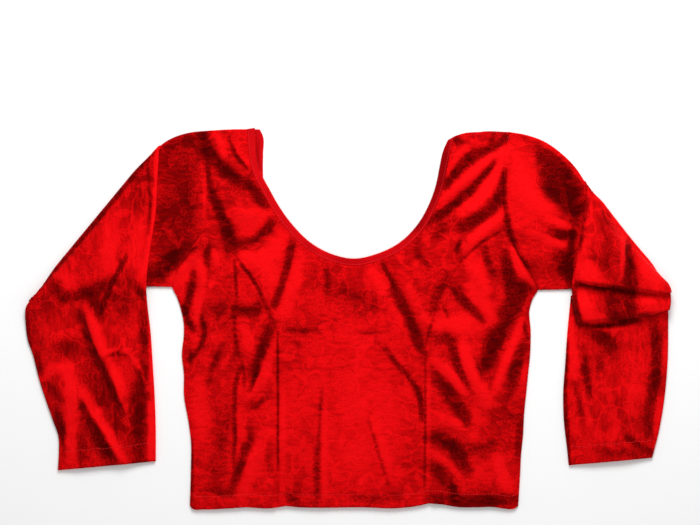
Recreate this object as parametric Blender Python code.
"""A choli blouse with princess seams and long sleeves, laid flat on a table with both sleeves folded down.

The cloth is a set of thin walls. The back lies on the table, the front panels lie on the back, and
each sleeve is a flattened tube that is folded over itself. Tables are in millimetres, seen from
above: x to the right, y towards the shoulders, z up. MIDDLE is the point of that plan which lies at
the origin, below the middle of the blouse.
"""

import math

import bmesh
import bpy
import numpy as np
from mathutils import Vector
from mathutils.geometry import delaunay_2d_cdt

# Sizes of the cloth and of the stack, in millimetres
MM = 0.001
MIDDLE = (0.0, -1.0)
WALL = 1.2
AIR = 0.8
SEAM_GAP = 0.3
BINDING_WIDTH = 7.5
BINDING_THICK = 1.7
PUFF = 1.6
PUFF_MARGIN = 26.0
SEAM_CLOSING = 10.0
HEM_LEAST = 0.45
COVER_CLEARANCE = 3.0
COVER_MARGIN = 12.0
SETTLING = 34.0

TUBE = 2 * WALL + AIR
LAYER_GAP = 0.7
FOLD_RADIUS = (TUBE + LAYER_GAP) / 2
LEVEL = 2 * FOLD_RADIUS
GROUND = TUBE / 2

# How finely the solids are divided
ACROSS_SLEEVE = 12
ARMHOLE_SPLIT = 7
TURN_STEPS = 4
PANEL_CELL = 12.0
BACK_CELL = 34.0
SEAM_STEP = 12.0
NECK_STEP = 11.0
LINE_POINTS = 24
FOLD_POINTS = 9
LATTICE_CLEARANCE = 0.55
SMOOTH_ANGLE = 40
LEFT_STEPS = [7, 19]
RIGHT_STEPS = [7, 6, 2, 5, 2, 11]

# Outlines of the pattern pieces as they lie: x and y of the points that each curve runs through
NECK_FRONT = [
    (-94, 187), (-93, 170), (-90, 155), (-85, 141), (-78, 128), (-69, 112), (-56, 94), (-36, 74.5),
    (-16, 64), (6, 59.5), (28, 64), (50, 74.5), (69, 93), (81, 114), (88, 134), (92, 154),
    (95, 168), (98, 179),
]
NECK_BACK = [
    (-85.5, 188), (-85, 168), (-86, 150), (-84, 134), (-73, 112), (-59, 92), (-39, 71), (-17, 60),
    (6, 55.5), (29, 60), (53, 71), (72, 90), (84, 112), (91, 133), (95, 153), (98, 168), (101, 179),
]
ARMHOLE_LEFT = [
    (-143, 187), (-144.5, 168), (-144, 148), (-142.5, 123), (-141.5, 103), (-145, 81), (-158, 64),
    (-170, 48), (-176, 31),
]
ARMHOLE_RIGHT = [
    (161, 186), (157, 170), (155.5, 153), (155, 128), (157, 103), (162, 82), (171, 62), (182, 44),
    (190, 28),
]
SIDE_LEFT = [
    (-176, 31), (-171, 21), (-167, 9), (-164, -7), (-164, -16), (-166, -36), (-164, -56),
    (-164, -76), (-159, -106), (-157, -122), (-157, -152), (-158, -190),
]
SIDE_RIGHT = [
    (190, 28), (185, 20), (181.5, 9), (182.5, -12), (182, -36), (180, -56), (178, -76), (176, -96),
    (175, -116), (173, -136), (172, -156), (170, -190),
]
PRINCESS_LEFT = [
    (-126, 75), (-112, 61), (-98, 44), (-86, 24), (-78, 6), (-73, -12), (-70.5, -32), (-70, -62),
    (-70, -122), (-70, -189),
]
PRINCESS_RIGHT = [
    (144, 81), (129, 70), (113, 55), (100, 35), (90, 16), (84, -4), (82, -27), (81.5, -82),
    (80.5, -132), (79, -185.5),
]
HEM_LEFT = [(-158, -190), (-114, -190.5), (-70, -189)]
HEM_CENTRE = [(-70, -189), (-30, -189), (20, -189), (60, -188), (79, -185.5)]
HEM_RIGHT = [(79, -185.5), (97, -187), (132, -189), (170, -190)]
SHOULDER_LEFT = [(-143, 187), (-118, 188.5), (-94, 187)]
SHOULDER_RIGHT = [(98, 179), (105, 182), (115, 184.5), (132, 186), (161, 186)]
SLEEVE_TOP_LEFT = [(-143, 187), (-163, 184.5), (-178, 180.5), (-188, 172)]
SLEEVE_TOP_RIGHT = [(161, 186), (174, 184.5), (201, 174), (225, 153), (239, 131)]
UNDERARM_LEFT = [(-176, 31), (-198, 32), (-250, 30), (-312, 22)]
UNDERARM_RIGHT = [(190, 28), (222, 28.5), (270, 32), (314.5, 37)]
SLEEVE_EDGE_LEFT = [
    (-188, 172), (-190.5, 128), (-192, 103), (-197, 73), (-201, 43), (-201, 23), (-198, 6),
    (-195, -46), (-192, -112), (-192, -144),
]
SLEEVE_EDGE_RIGHT = [(239, 131), (236, 108), (232, 88), (228, 62), (225, 38), (222, 13), (219, -16)]

# Sections across a sleeve. x0, y0 is the end on the sleeve's top fold and x1, y1 the end on its
# underarm fold, z the height of the tube's middle, bow the share of the armhole's curve, and lift
# the share of the puff and creases that the upper cloth shows there.
SECTION_COLUMNS = ("x0", "y0", "x1", "y1", "z", "bow", "lift")
LEFT_UPPER = [
    (-143, 187, -176, 31, GROUND, 1.0, 1),
    (-154, 186, -200, 31.5, GROUND, 0.8, 1),
    (-164, 184, -228, 31, GROUND, 0.6, 1),
    (-173, 181, -256, 29, GROUND, 0.35, 1),
    (-181, 177, -284, 26, GROUND, 0.15, 0),
    (-188, 172, -312, 22, GROUND, 0, 0),
]
LEFT_LOWER = [
    (-188, 172, -312, 22, GROUND + LEVEL, 0, 0),
    (-190, 140, -321, 12, GROUND + LEVEL, 0, 1),
    (-192, 103, -322, -6, GROUND + LEVEL, 0, 1),
    (-197, 70, -320, -22, GROUND + LEVEL, 0, 1),
    (-201, 36, -314.5, -38, GROUND + LEVEL, 0, 1),
    (-200, 12, -309, -60, GROUND + LEVEL, 0, 1),
    (-197, -16, -302, -82, GROUND + LEVEL, 0, 1),
    (-195, -46, -295, -102, GROUND + LEVEL, 0, 1),
    (-193, -80, -289.5, -118, GROUND + LEVEL, 0, 1),
    (-192, -112, -289, -134, GROUND + LEVEL, 0, 1),
    (-192, -143, -290, -152, GROUND + LEVEL, 0, 1),
]
RIGHT_UPPER = [
    (161, 186, 190, 28, GROUND, 1.0, 1),
    (178, 183, 214, 28.5, GROUND, 0.75, 1),
    (197, 176, 240, 30, GROUND, 0.5, 1),
    (215, 163, 266, 32, GROUND, 0.25, 1),
    (229, 148, 292, 35, GROUND, 0.15, 0),
    (239, 131, 314.5, 37, GROUND, 0.1, 0),
]
RIGHT_FLAP = [
    (239, 131, 314.5, 37, GROUND + LEVEL, 0.1, 0),
    (236, 110, 317, 35, GROUND + 1.7 * LEVEL, 0.05, 1),
    (232, 88, 319.5, 32, GROUND + 2.5 * LEVEL, 0, 1),
    (228, 64, 321, 29, GROUND + 3 * LEVEL, 0, 1),
    (225, 38, 321.5, 26, GROUND + 3 * LEVEL, 0, 1),
]
RIGHT_FLAP_RETURN = [
    (225, 38, 321.5, 26, GROUND + 2 * LEVEL, 0, 0),
    (226, 50, 321, 31, GROUND + 2 * LEVEL, 0, 0),
]
RIGHT_TUCK = [
    (226, 50, 321, 31, GROUND + LEVEL, 0, 0),
    (223, 29, 322, 22, GROUND + 1.1 * LEVEL, 0, 0),
    (225, 12, 321.5, 15, GROUND + 2 * LEVEL, 0, 1),
    (229, -4, 320.5, 9, GROUND + 2 * LEVEL, 0, 1),
]
RIGHT_TUCK_RETURN = [
    (229, -4, 320.5, 9, GROUND + LEVEL, 0, 0),
    (222.5, 13, 320, 18, GROUND + LEVEL, 0, 0),
]
RIGHT_LOWER = [
    (222.5, 13, 320, 18, GROUND, 0, 0),
    (219, -16, 320, -8, GROUND, 0, 0),
    (217, -46, 319.5, -42, GROUND, 0, 1),
    (215, -76, 316, -82, GROUND, 0, 1),
    (216, -106, 310.5, -114, GROUND, 0, 1),
    (219, -132, 306, -132, GROUND, 0, 1),
    (220.5, -147, 304, -139.5, GROUND, 0, 1),
]

# The largest folds. Each runs from x0, y0 past x1, y1 to x2, y2. left and right are its widths on
# the two sides of that way, and height is up for a ridge and down for a trough.
FOLD_COLUMNS = ("x0", "y0", "x1", "y1", "x2", "y2", "left", "right", "height")
BODY_FOLDS = [
    (-146, 184, -134, 158, -104, 130, 8, 8, -2.2),
    (-133, 186, -124, 160, -98, 138, 9, 9, 3.0),
    (-142, 160, -138, 112, -116, 62, 9, 8, -2.4),
    (-126, 110, -104, 106, -80, 112, 14, 12, 4.0),
    (-176, 40, -162, 62, -140, 66, 9, 8, 3.4),
    (-158, 50, -152, 26, -162, 4, 7, 7, -2.2),
    (-146, 52, -144, 22, -152, 0, 8, 8, 2.8),
    (-112, 60, -113, -60, -112, -186, 10, 9, 2.0),
    (-57, 72, -64, 40, -72, 12, 7, 7, -2.0),
    (-78, -8, -87, -38, -97, -72, 7, 8, -2.2),
    (-66, -4, -74, -40, -80, -80, 9, 9, 2.6),
    (-105, -92, -86, -88, -70, -76, 9, 9, -2.0),
    (-110, -160, -96, -138, -72, -124, 10, 12, 2.4),
    (-26, -60, -27, -120, -28, -188, 8, 10, 2.6),
    (18, -90, 26, -126, 42, -176, 8, 9, 2.4),
    (36, 54, 54, 14, 76, -36, 9, 8, -2.4),
    (50, 50, 68, 16, 84, -20, 10, 10, 3.2),
    (42, -30, 66, -62, 72, -98, 8, 8, -2.0),
    (157, 180, 128, 164, 98, 136, 9, 9, -2.4),
    (156, 166, 124, 142, 92, 118, 9, 8, 3.4),
    (146, 152, 118, 122, 84, 98, 8, 8, -2.4),
    (155, 146, 138, 116, 104, 96, 9, 8, 3.2),
    (155, 136, 146, 104, 112, 86, 8, 8, -2.2),
    (150, 106, 132, 84, 106, 66, 10, 10, 3.2),
    (118, 62, 130, 40, 150, 20, 10, 10, 3.4),
    (168, 64, 164, 14, 134, -60, 12, 13, -2.4),
    (186, -16, 160, -46, 146, -72, 9, 9, 3.0),
    (84, -52, 104, -80, 124, -108, 8, 9, -2.4),
    (114, -22, 122, -54, 140, -84, 9, 9, 3.6),
    (82, -119, 110, -122, 118, -150, 10, 9, -2.4),
    (86, -100, 112, -108, 130, -134, 9, 9, 2.6),
    (-165, 66, -182, 50, -198, 38, 10, 8, -2.0),
    (160, 150, 186, 120, 204, 90, 16, 16, 3.4),
    (166, 86, 190, 86, 214, 92, 10, 9, 3.0),
    (172, 66, 190, 60, 208, 70, 9, 9, 2.8),
]
LEFT_SLEEVE_FOLDS = [
    (-292, 28, -252, 22, -220, 56, 9, 9, -1.8),
    (-222, 58, -236, 30, -252, -2, 8, 7, 3.4),
    (-266, 20, -246, -30, -222, -98, 7, 10, 4.6),
    (-244, -36, -216, -32, -199, -74, 8, 8, 3.4),
    (-272, -70, -252, -110, -226, -144, 8, 9, 4.0),
    (-300, -44, -288, -88, -278, -140, 10, 10, 3.0),
    (-300, 20, -306, -6, -298, -34, 14, 12, 2.6),
    (-240, 118, -270, 80, -290, 50, 16, 16, 2.2),
]
RIGHT_SLEEVE_FOLDS = [
    (245, 110, 249, 72, 246, 34, 15, 16, 2.8),
    (264, 92, 266, 62, 266, 34, 12, 5, 3.4),
    (281, 78, 281, 44, 279, 2, 6, 9, -2.8),
    (298, 58, 305, 34, 308, 6, 11, 12, 3.0),
    (246, 24, 249, 10, 254, -6, 15, 14, 2.6),
    (236, -30, 230, -70, 236, -120, 10, 12, 2.6),
    (280, -40, 276, -80, 272, -130, 16, 16, 2.6),
    (312, -30, 310, -74, 300, -116, 8, 8, 2.2),
]

# The binding's section: the share of its width from the rolled edge, and of its thickness
BINDING_PROFILE = [(0, 0.5), (0.1, 1), (0.5, 0.92), (0.96, 0.8), (0.96, 0), (0.12, 0)]

# Lines where the upper cloth lies down flat, those that its folds run out over, and the sewn ones
FLAT_EDGES = [
    NECK_FRONT, SIDE_LEFT, SIDE_RIGHT, SHOULDER_LEFT, SHOULDER_RIGHT, SLEEVE_TOP_LEFT,
    SLEEVE_TOP_RIGHT, UNDERARM_LEFT, UNDERARM_RIGHT,
]
HEM_EDGES = [HEM_LEFT, HEM_CENTRE, HEM_RIGHT]
CLOSED_SEAMS = [SIDE_LEFT, SIDE_RIGHT, SHOULDER_LEFT[:-1], SHOULDER_RIGHT[2:]]

RED = (0.62, 0.004, 0.008)
DEEP_RED = (0.48, 0.003, 0.006)


def smooth_line(points, count):
    """count points, evenly spaced, on a cubic curve that runs through the given points."""
    fixed = np.array(points, float)
    along = np.concatenate([[0], np.cumsum(np.linalg.norm(np.diff(fixed, axis=0), axis=1))])
    slope = np.gradient(fixed, along, axis=0)
    dense = np.linspace(0, along[-1], LINE_POINTS * len(fixed))
    span = np.clip(np.searchsorted(along, dense, side="right") - 1, 0, len(fixed) - 2)
    width = (along[span + 1] - along[span])[:, None]
    u = (dense - along[span])[:, None] / width
    curve = (
        (2 * u**3 - 3 * u**2 + 1) * fixed[span]
        + (u**3 - 2 * u**2 + u) * width * slope[span]
        + (3 * u**2 - 2 * u**3) * fixed[span + 1]
        + (u**3 - u**2) * width * slope[span + 1]
    )
    walked = np.concatenate([[0], np.cumsum(np.linalg.norm(np.diff(curve, axis=0), axis=1))])
    at = np.linspace(0, walked[-1], count)
    return np.stack([np.interp(at, walked, curve[:, k]) for k in range(curve.shape[1])], axis=1)


def line_by_step(points, step):
    """The same curve with points about step apart."""
    fixed = np.array(points, float)
    length = np.linalg.norm(np.diff(fixed, axis=0), axis=1).sum()
    return smooth_line(points, max(2, round(length / step) + 1))


def ease(u):
    """Smooth rise from 0 to 1."""
    u = np.clip(u, 0, 1)
    return u * u * (3 - 2 * u)


def nearest_on(points, line):
    """For each point: the distance to a line of straight spans, the side of it, the share of the way."""
    best = np.full(len(points), np.inf)
    side = np.zeros(len(points))
    share = np.zeros(len(points))
    spans = len(line) - 1
    for i in range(spans):
        start = line[i]
        way = line[i + 1] - start
        off = points - start
        u = np.clip((off @ way) / (way @ way), 0, 1)
        distance = np.linalg.norm(off - u[:, None] * way, axis=1)
        closer = distance < best
        best = np.where(closer, distance, best)
        side = np.where(closer, np.sign(way[0] * off[:, 1] - way[1] * off[:, 0]), side)
        share = np.where(closer, (i + u) / spans, share)
    return best, side, share


def fold_heights(points, folds):
    """The height that all folds in a table add at each point."""
    total = np.zeros(len(points))
    for row in folds:
        fold = dict(zip(FOLD_COLUMNS, row))
        ends = [(fold["x0"], fold["y0"]), (fold["x1"], fold["y1"]), (fold["x2"], fold["y2"])]
        distance, side, share = nearest_on(points, smooth_line(ends, FOLD_POINTS))
        width = np.where(side > 0, fold["left"], fold["right"])
        fade = np.sqrt(np.clip(np.sin(math.pi * (0.06 + 0.88 * share)), 0, 1))
        total += fold["height"] * fade * np.exp(-((distance / width) ** 2))
    return total


def edge_share(points, lines):
    """0 on any of the lines, and 1 from PUFF_MARGIN away from all of them."""
    share = np.ones(len(points))
    for line in lines:
        distance, _, _ = nearest_on(points, smooth_line(line, LINE_POINTS))
        share = np.minimum(share, ease(distance / PUFF_MARGIN))
    return share


def covered_share(points, edge):
    """0 under a folded sleeve and 1 where the cloth is clear of it."""
    distance, side, _ = nearest_on(points, smooth_line(edge, LINE_POINTS))
    outward = 1 if edge is SLEEVE_EDGE_LEFT else -1
    return ease((distance * side * outward - COVER_CLEARANCE) / COVER_MARGIN)


def body_lift(points):
    """How far the upper cloth of the bodice and of the upper sleeves rises above its flat place."""
    hem = HEM_LEAST + (1 - HEM_LEAST) * edge_share(points, HEM_EDGES)
    clear = covered_share(points, SLEEVE_EDGE_LEFT) * covered_share(points, SLEEVE_EDGE_RIGHT)
    rise = PUFF + fold_heights(points, BODY_FOLDS)
    return np.clip(rise, 0, None) * edge_share(points, FLAT_EDGES) * hem * clear


def front_underside(points):
    """The height of the front's underside. It closes on the back at the side and shoulder seams."""
    open_share = np.ones(len(points))
    for line in CLOSED_SEAMS:
        distance, _, _ = nearest_on(points, smooth_line(line, LINE_POINTS))
        open_share = np.minimum(open_share, ease(distance / SEAM_CLOSING))
    return WALL + SEAM_GAP + (AIR - SEAM_GAP) * open_share + body_lift(points)


def table_top(points):
    """The height of a piece that lies on the table."""
    return np.zeros(len(points))


def metres(points):
    """Points of the tables' plan, in millimetres, as points about the origin in metres."""
    return (np.asarray(points, float) - np.array([*MIDDLE, 0])) * MM


def new_material(name, colour, roughness):
    """A cloth finish."""
    material = bpy.data.materials.new(name)
    material.use_nodes = True
    shader = material.node_tree.nodes["Principled BSDF"]
    shader.inputs["Base Color"].default_value = (*colour, 1)
    shader.inputs["Roughness"].default_value = roughness
    shader.inputs["Metallic"].default_value = 0
    shader.inputs["Sheen Weight"].default_value = 0.4
    return material


def new_object(name, mesh, material):
    """A named piece of the blouse."""
    mesh.materials.append(material)
    mesh.shade_smooth()
    mesh.set_sharp_from_angle(angle=math.radians(SMOOTH_ANGLE))
    piece = bpy.data.objects.new(name, mesh)
    bpy.data.collections["choli_blouse"].objects.link(piece)
    return piece


def join_lines(*lines):
    """One closed outline from curves that meet end to end."""
    return np.concatenate([np.array(line)[:-1] for line in lines])


def inset(loop, distance):
    """The outline moved inwards by distance. It runs counter-clockwise."""
    before = np.roll(loop, 1, axis=0)
    after = np.roll(loop, -1, axis=0)
    first = (loop - before) / np.linalg.norm(loop - before, axis=1)[:, None]
    second = (after - loop) / np.linalg.norm(after - loop, axis=1)[:, None]
    along = first + second
    along /= np.linalg.norm(along, axis=1)[:, None]
    inward = np.stack([-along[:, 1], along[:, 0]], axis=1)
    return loop + distance * inward


def inside(points, loop):
    """Which points lie inside an outline, by counting crossings."""
    found = np.zeros(len(points), bool)
    for a, b in zip(loop, np.roll(loop, -1, axis=0)):
        crosses = (a[1] > points[:, 1]) != (b[1] > points[:, 1])
        at = a[0] + (points[:, 1] - a[1]) * (b[0] - a[0]) / (b[1] - a[1] if b[1] != a[1] else 1)
        found ^= crosses & (points[:, 0] < at)
    return found


def counter_clockwise(loop):
    """The outline, turned round if it runs clockwise."""
    x, y = loop[:, 0], loop[:, 1]
    area = (x * np.roll(y, -1) - np.roll(x, -1) * y).sum()
    return loop if area > 0 else loop[::-1]


def panel(name, outline, underside, cell, material):
    """A cut piece: its outline filled with triangles, raised to underside(points) and made a wall."""
    loop = inset(counter_clockwise(outline), SEAM_GAP / 2)
    low, high = loop.min(axis=0), loop.max(axis=0)
    row_height = cell * math.sqrt(3) / 2
    lattice = []
    for j, y in enumerate(np.arange(low[1] + row_height / 2, high[1], row_height)):
        for x in np.arange(low[0] + cell * (0.25 + 0.5 * (j % 2)), high[0], cell):
            lattice.append((x, y))
    lattice = np.array(lattice)
    closed = np.concatenate([loop, loop[:1]])
    clear = nearest_on(lattice, closed)[0] > LATTICE_CLEARANCE * min(cell, 2 * SEAM_STEP)
    lattice = lattice[inside(lattice, loop) & clear]
    flat = np.concatenate([loop, lattice])
    ring = list(range(len(loop)))
    edges = list(zip(ring, ring[1:] + ring[:1]))
    placed, _, faces, *_ = delaunay_2d_cdt([Vector(p) for p in flat], edges, [ring], 1, 1e-6)
    plan = np.array([tuple(p) for p in placed])
    height = underside(plan)

    work = bmesh.new()
    corners = [work.verts.new(point) for point in metres(np.column_stack([plan, height]))]
    for face in faces:
        work.faces.new([corners[i] for i in face])
    bmesh.ops.recalc_face_normals(work, faces=work.faces)
    grown = bmesh.ops.extrude_face_region(work, geom=list(work.faces))
    raised = [item for item in grown["geom"] if isinstance(item, bmesh.types.BMVert)]
    bmesh.ops.translate(work, verts=raised, vec=(0, 0, WALL * MM))
    bmesh.ops.recalc_face_normals(work, faces=work.faces)
    mesh = bpy.data.meshes.new(name)
    work.to_mesh(mesh)
    work.free()
    return new_object(name, mesh, material)


def grid_faces(rows, columns, wrap):
    """Quads of a grid of points, joined round across its columns where wrap is set."""
    faces = []
    for i in range(rows - 1):
        for j in range(columns if wrap else columns - 1):
            k = (j + 1) % columns
            faces.append((i * columns + j, i * columns + k, (i + 1) * columns + k, (i + 1) * columns + j))
    return faces


def recalculated(mesh):
    """The mesh with all its faces turned outwards."""
    work = bmesh.new()
    work.from_mesh(mesh)
    bmesh.ops.recalc_face_normals(work, faces=work.faces)
    work.to_mesh(mesh)
    work.free()
    return mesh


def section_run(rows, steps, armhole):
    """Sections evenly spaced along one run of a sleeve: points and the share of lift at each."""
    table = np.array(rows, float)
    middle = (table[:, 0:2] + table[:, 2:4]) / 2
    along = np.concatenate([[0], np.cumsum(np.linalg.norm(np.diff(middle, axis=0), axis=1))])
    spread = np.column_stack([along, table])
    ends = smooth_line(spread[:, [0, 1, 2, 3, 4]], steps)[:, 1:]
    at = np.linspace(0, along[-1], steps)
    z, bow, lift = (np.interp(at, along, table[:, k]) for k in (4, 5, 6))
    share = np.linspace(0, 1, len(armhole))
    chord = armhole[0] + share[:, None] * (armhole[-1] - armhole[0])
    curve = armhole - chord
    plan = (
        ends[:, None, 0:2]
        + share[None, :, None] * (ends[:, None, 2:4] - ends[:, None, 0:2])
        + bow[:, None, None] * curve[None]
    )
    height = np.repeat(z[:, None, None], len(armhole), axis=1)
    return np.concatenate([plan, height], axis=2), np.repeat(lift[:, None], len(armhole), axis=1)


def half_turn(before, after, came_from):
    """The sections between two that lie above each other, on a half circle ahead of them."""
    line = before[-1, :2] - before[0, :2]
    ahead = np.array([-line[1], line[0]]) / np.linalg.norm(line)
    if ahead @ (before[:, :2].mean(axis=0) - came_from[:, :2].mean(axis=0)) < 0:
        ahead = -ahead
    radius = (after[:, 2] - before[:, 2]) / 2
    sections = []
    for step in range(1, TURN_STEPS):
        angle = math.pi * step / TURN_STEPS
        moved = before.copy()
        moved[:, :2] += abs(radius)[:, None] * math.sin(angle) * ahead
        moved[:, 2] += radius * (1 - math.cos(angle))
        sections.append(moved)
    return np.array(sections)


def sleeve_middle(runs, steps, armhole):
    """The surface half way through the flattened tube, from the armhole to the cuff."""
    stations, lifts = [], []
    for rows, count in zip(runs, steps):
        points, lift = section_run(rows, count, armhole)
        if stations:
            turn = half_turn(stations[-1][-1], points[0], stations[-1][-2])
            stations.append(turn)
            lifts.append(np.zeros(turn.shape[:2]))
        stations.append(points)
        lifts.append(lift)
    return np.concatenate(stations), np.concatenate(lifts)


def unit(vectors):
    """Each vector made one long."""
    return vectors / np.linalg.norm(vectors, axis=-1, keepdims=True)


def settled(middle, edge):
    """Lowers the folded part to the table where the hidden part of the sleeve no longer lies under it."""
    plan = middle[..., :2].reshape(-1, 2)
    distance, side, _ = nearest_on(plan, smooth_line(edge, LINE_POINTS))
    past = distance * np.where(side > 0, 1, -1) - COVER_CLEARANCE
    below = ease(past / SETTLING).reshape(middle.shape[:2])
    raised = middle[..., 2] > GROUND + 0.5
    lower = middle.copy()
    lower[..., 2] -= np.where(raised, np.clip(middle[..., 2] - GROUND, 0, LEVEL) * below, 0)
    return lower


def sleeve(name, runs, steps, armhole, edges, folds, material, settle_over=None):
    """A flattened tube of cloth through its sections, open at the armhole and at the cuff."""
    share = np.linspace(0, 1, len(armhole))
    middle, lift = sleeve_middle(runs, steps, armhole)
    if settle_over is not None:
        middle = settled(middle, settle_over)
    across = unit(middle[:, -1] - middle[:, 0])
    middle = middle + (TUBE / 2) * (1 - 2 * share)[None, :, None] * across[:, None, :]
    middle[0] += unit(middle[1] - middle[0]) * SEAM_GAP
    along = unit(np.gradient(middle, axis=0))
    sideways = unit(np.gradient(middle, axis=1))
    normal = unit(np.cross(sideways, along))
    if normal[0, 0, 2] < 0:
        normal = -normal

    plan = middle[..., :2].reshape(-1, 2)
    upper_rows = steps[0]
    own = (PUFF + fold_heights(plan, folds)) * edge_share(plan, edges)
    own = np.clip(own, 0, None).reshape(lift.shape)
    shared = body_lift(plan).reshape(lift.shape)
    upper = (np.arange(len(middle)) < upper_rows)[:, None]
    rise = lift * np.where(upper, shared, own)

    def ring(half):
        """The points of one loop round the tube at each station, half being half its thickness."""
        loops = []
        for facing in (1, -1):
            face = middle + facing * half * normal
            shows = facing * normal[..., 2] > 0.5
            face[..., 2] += np.where(shows, rise, 0)
            cap = middle[:, -1] + half * across if facing == 1 else middle[:, 0] - half * across
            loops.append(face if facing == 1 else face[:, ::-1])
            loops.append(cap[:, None, :])
        return np.concatenate(loops, axis=1)

    outer = ring(TUBE / 2)
    inner = ring(AIR / 2)
    rows, columns = outer.shape[:2]
    count = rows * columns
    faces = grid_faces(rows, columns, True)
    faces += [tuple(count + i for i in reversed(face)) for face in faces]
    for row in (0, rows - 1):
        for j in range(columns):
            k = (j + 1) % columns
            a, b = row * columns + j, row * columns + k
            faces.append((a, b, count + b, count + a))
    points = metres(np.concatenate([outer.reshape(-1, 3), inner.reshape(-1, 3)]))
    mesh = bpy.data.meshes.new(name)
    mesh.from_pydata(points.tolist(), [], faces)
    return new_object(name, recalculated(mesh), material)


def neck_seam(neck, step):
    """The points of a neckline's edge, and those of the seam where its binding joins the cloth."""
    edge = line_by_step(neck, step)
    way = unit(np.gradient(edge, axis=0))
    outward = np.stack([way[:, 1], -way[:, 0]], axis=1)
    return edge, edge + BINDING_WIDTH * outward


def binding(name, edge, seam, underside, material):
    """A narrow folded band along a neckline, thickest at its rolled edge."""
    rings = []
    for across, up in BINDING_PROFILE:
        plan = edge + across * (seam - edge)
        rings.append(np.column_stack([plan, underside(plan) + up * BINDING_THICK]))
    points = np.stack(rings, axis=1)
    rows, columns = points.shape[:2]
    faces = grid_faces(rows, columns, True)
    faces.append(tuple(range(columns)))
    faces.append(tuple((rows - 1) * columns + j for j in range(columns)))
    mesh = bpy.data.meshes.new(name)
    mesh.from_pydata(metres(points.reshape(-1, 3)).tolist(), [], faces)
    return new_object(name, recalculated(mesh), material)


def clear_scene():
    """Removes what the scene holds and makes the blouse's collection."""
    for old in list(bpy.data.objects):
        bpy.data.objects.remove(old)
    collection = bpy.data.collections.new("choli_blouse")
    bpy.context.scene.collection.children.link(collection)


def main():
    clear_scene()
    velvet = new_material("embossed_velvet", RED, 0.6)
    plain = new_material("binding_cloth", DEEP_RED, 0.55)

    armhole_left = smooth_line(ARMHOLE_LEFT, ACROSS_SLEEVE + 1)
    armhole_right = smooth_line(ARMHOLE_RIGHT, ACROSS_SLEEVE + 1)
    princess_left = line_by_step([tuple(armhole_left[ARMHOLE_SPLIT])] + PRINCESS_LEFT, SEAM_STEP)
    princess_right = line_by_step([tuple(armhole_right[ARMHOLE_SPLIT])] + PRINCESS_RIGHT, SEAM_STEP)
    front_edge, front_seam = neck_seam(NECK_FRONT, NECK_STEP)
    back_edge, back_seam = neck_seam(NECK_BACK, NECK_STEP)
    shoulder_left = line_by_step(SHOULDER_LEFT[:-1] + [tuple(front_seam[0])], SEAM_STEP)
    shoulder_right = line_by_step([tuple(front_seam[-1])] + SHOULDER_RIGHT[2:], SEAM_STEP)

    front_outline = join_lines(
        shoulder_left, front_seam, shoulder_right, armhole_right[: ARMHOLE_SPLIT + 1], princess_right,
        line_by_step(HEM_CENTRE, SEAM_STEP)[::-1], princess_left[::-1],
        armhole_left[: ARMHOLE_SPLIT + 1][::-1],
    )
    panel("front_centre", front_outline, front_underside, PANEL_CELL, velvet)
    left_outline = join_lines(
        princess_left, line_by_step(HEM_LEFT, SEAM_STEP)[::-1],
        line_by_step(SIDE_LEFT, SEAM_STEP)[::-1], armhole_left[ARMHOLE_SPLIT:][::-1],
    )
    panel("front_side_left", left_outline, front_underside, PANEL_CELL, velvet)
    right_outline = join_lines(
        princess_right, line_by_step(HEM_RIGHT, SEAM_STEP),
        line_by_step(SIDE_RIGHT, SEAM_STEP)[::-1], armhole_right[ARMHOLE_SPLIT:][::-1],
    )
    panel("front_side_right", right_outline, front_underside, PANEL_CELL, velvet)

    back_shoulder_left = line_by_step(SHOULDER_LEFT[:-1] + [tuple(back_seam[0])], SEAM_STEP)
    back_shoulder_right = line_by_step([tuple(back_seam[-1])] + SHOULDER_RIGHT[3:], SEAM_STEP)
    hem = HEM_LEFT[:-1] + HEM_CENTRE[:-1] + HEM_RIGHT
    back_outline = join_lines(
        back_shoulder_left, back_seam, back_shoulder_right, armhole_right,
        line_by_step(SIDE_RIGHT, SEAM_STEP), line_by_step(hem, 2 * SEAM_STEP)[::-1],
        line_by_step(SIDE_LEFT, SEAM_STEP)[::-1], armhole_left[::-1],
    )
    panel("back", back_outline, table_top, BACK_CELL, velvet)

    sleeve(
        "sleeve_left", [LEFT_UPPER, LEFT_LOWER], LEFT_STEPS, armhole_left,
        [SLEEVE_EDGE_LEFT, [row[2:4] for row in LEFT_LOWER]], LEFT_SLEEVE_FOLDS, velvet,
        settle_over=UNDERARM_LEFT,
    )
    sleeve(
        "sleeve_right",
        [RIGHT_UPPER, RIGHT_FLAP, RIGHT_FLAP_RETURN, RIGHT_TUCK, RIGHT_TUCK_RETURN, RIGHT_LOWER],
        RIGHT_STEPS, armhole_right,
        [[row[0:2] for row in RIGHT_FLAP + RIGHT_LOWER], [row[2:4] for row in RIGHT_FLAP + RIGHT_LOWER]],
        RIGHT_SLEEVE_FOLDS, velvet,
    )
    binding("neck_binding_front", front_edge, front_seam, front_underside, plain)
    binding("neck_binding_back", back_edge, back_seam, table_top, plain)


main()
